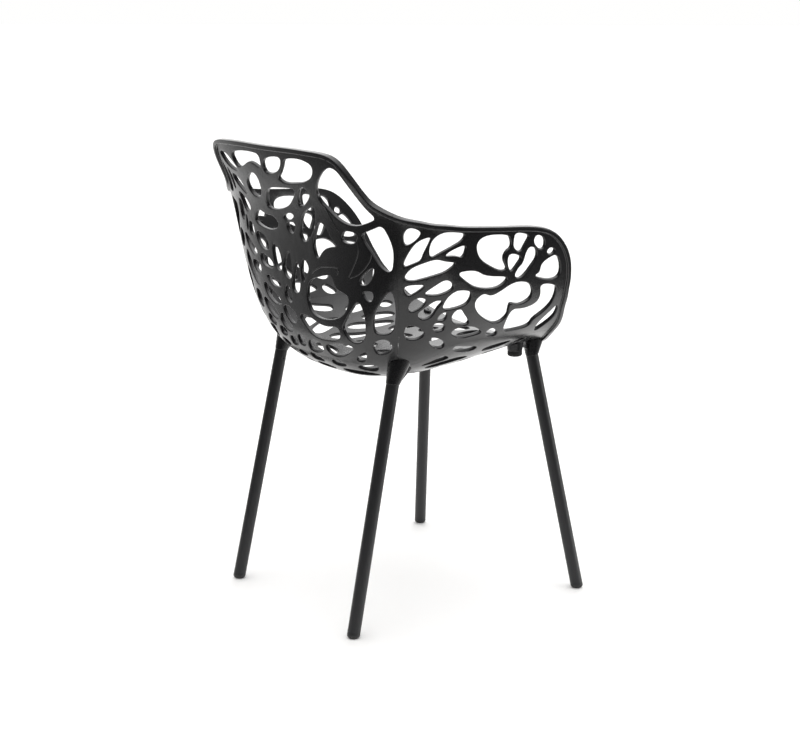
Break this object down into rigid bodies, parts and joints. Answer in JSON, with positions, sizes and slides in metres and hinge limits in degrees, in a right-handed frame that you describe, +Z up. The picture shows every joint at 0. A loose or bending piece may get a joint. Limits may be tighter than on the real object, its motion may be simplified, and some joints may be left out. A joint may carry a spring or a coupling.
{
  "type": "garden armchair",
  "caption": "Openwork bucket armchair for a patio: four cast panels with a floral pattern on splayed tube legs.",
  "frame": {"origin": "on the floor, under the middle of the chair's bounding box", "axes": "+Z up, -Y the way the sitter faces, +X the sitter's left"},
  "size_m": [0.6366, 0.5252, 0.8082],
  "materials": {
    "casting": "satin black paint over cast metal",
    "leg_head": "satin black paint",
    "leg_tube": "matt black powder coat",
    "screw": "satin black",
    "set_screw": "black oxide",
    "bumper": "matt",
    "glide": "fine matt"
  },
  "bodies": {
    "root": {"arm_casting_left": "casting", "arm_casting_right": "casting", "back_casting": "casting", "front_foot_glide_left": "glide", "front_foot_glide_right": "glide", "front_leg_head_left": "leg_head", "front_leg_head_right": "leg_head", "front_leg_tube_left": "leg_tube", "front_leg_tube_right": "leg_tube", "head_screws": "screw", "leg_set_screws": "set_screw", "rear_foot_glide_left": "glide", "rear_foot_glide_right": "glide", "rear_leg_head_left": "leg_head", "rear_leg_head_right": "leg_head", "rear_leg_tube_left": "leg_tube", "rear_leg_tube_right": "leg_tube", "seat_casting": "casting", "stacking_bumper_left": "bumper", "stacking_bumper_right": "bumper"}
  },
  "joints": []
}
